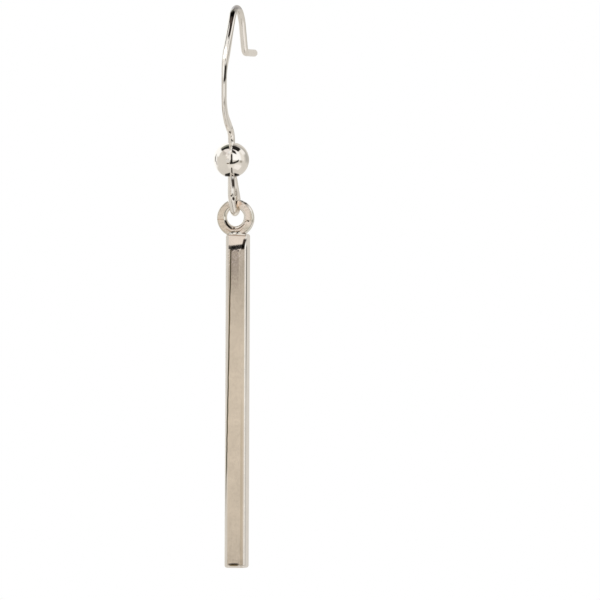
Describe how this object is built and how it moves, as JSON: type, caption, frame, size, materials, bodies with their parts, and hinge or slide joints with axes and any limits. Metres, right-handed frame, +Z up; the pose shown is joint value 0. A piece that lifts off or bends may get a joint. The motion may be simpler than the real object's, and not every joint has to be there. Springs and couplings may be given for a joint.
{
  "type": "bar drop earring",
  "caption": "Drop earring for a pierced ear: a bent wire hook with a bead, and a slim square metal bar that swings from the hook's loop by a soldered eye.",
  "frame": {"origin": "top of the hook's arch, on the wire's centre line, where the earlobe carries it", "axes": "+Z up, away from the bar; -Y towards the viewer of the bar's face, the side of the bead; the hook lies in the plane X = 0 and its tail points to +Y"},
  "size_m": [0.0034, 0.0133, 0.0507],
  "materials": {
    "wire": "polished silver wire",
    "bead": "polished silver",
    "bar": "polished warm silver with fine scratches"
  },
  "bodies": {
    "ear_wire": {"ear_hook": "wire", "ball_bead": "bead"},
    "drop": {"bar_drop": "bar"}
  },
  "joints": [
    {"name": "drop_swing", "type": "hinge", "parent": "ear_wire", "child": "drop", "pos_m": [0, -0.0004, -0.0184], "axis": [0, 1, 0], "range_deg": [-60, 60]}
  ]
}
